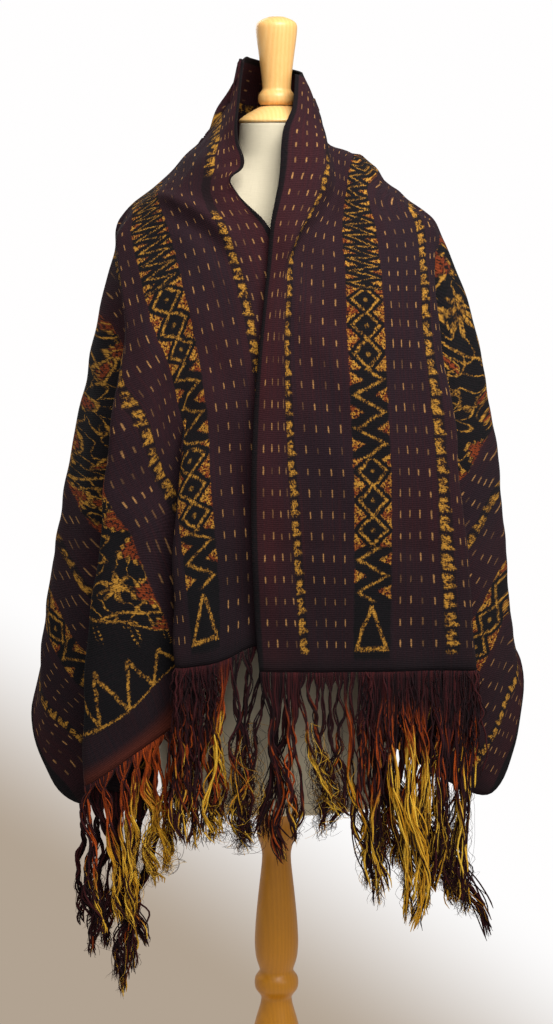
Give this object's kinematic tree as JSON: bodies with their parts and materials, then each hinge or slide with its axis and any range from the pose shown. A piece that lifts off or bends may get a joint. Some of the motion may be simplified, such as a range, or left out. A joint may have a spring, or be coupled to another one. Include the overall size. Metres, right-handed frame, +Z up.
{
  "type": "fringed ikat shawl on a dress form",
  "caption": "Long fringed ikat shawl worn open with a standing collar over a limbless linen dress form, on a turned wood pole and round base.",
  "frame": {"origin": "middle of the round base's underside, on the surface that it stands on", "axes": "+Z up along the pole; the front of the form faces -Y; +X to the right seen from the front"},
  "size_m": [0.6661, 0.384, 1.637],
  "materials": {
    "shawl": "matte handwoven cotton, maroon brown with ochre ikat",
    "fringe": "matte twisted cotton, maroon into orange and yellow",
    "linen": "matte cream linen",
    "wood": "satin varnished light wood"
  },
  "bodies": {
    "root": {"shawl_collar": "shawl", "shawl_right_front": "shawl", "shawl_right_side": "shawl", "shawl_back": "shawl", "shawl_left_side": "shawl", "shawl_left_flap": "shawl", "shawl_left_front": "shawl", "fringe_right_front": "fringe", "fringe_right_side": "fringe", "fringe_left_side": "fringe", "fringe_left_flap": "fringe", "fringe_left_front": "fringe", "form_torso": "linen", "form_neck_cap": "wood", "form_finial": "wood", "form_column": "wood", "form_base": "wood"}
  },
  "joints": []
}
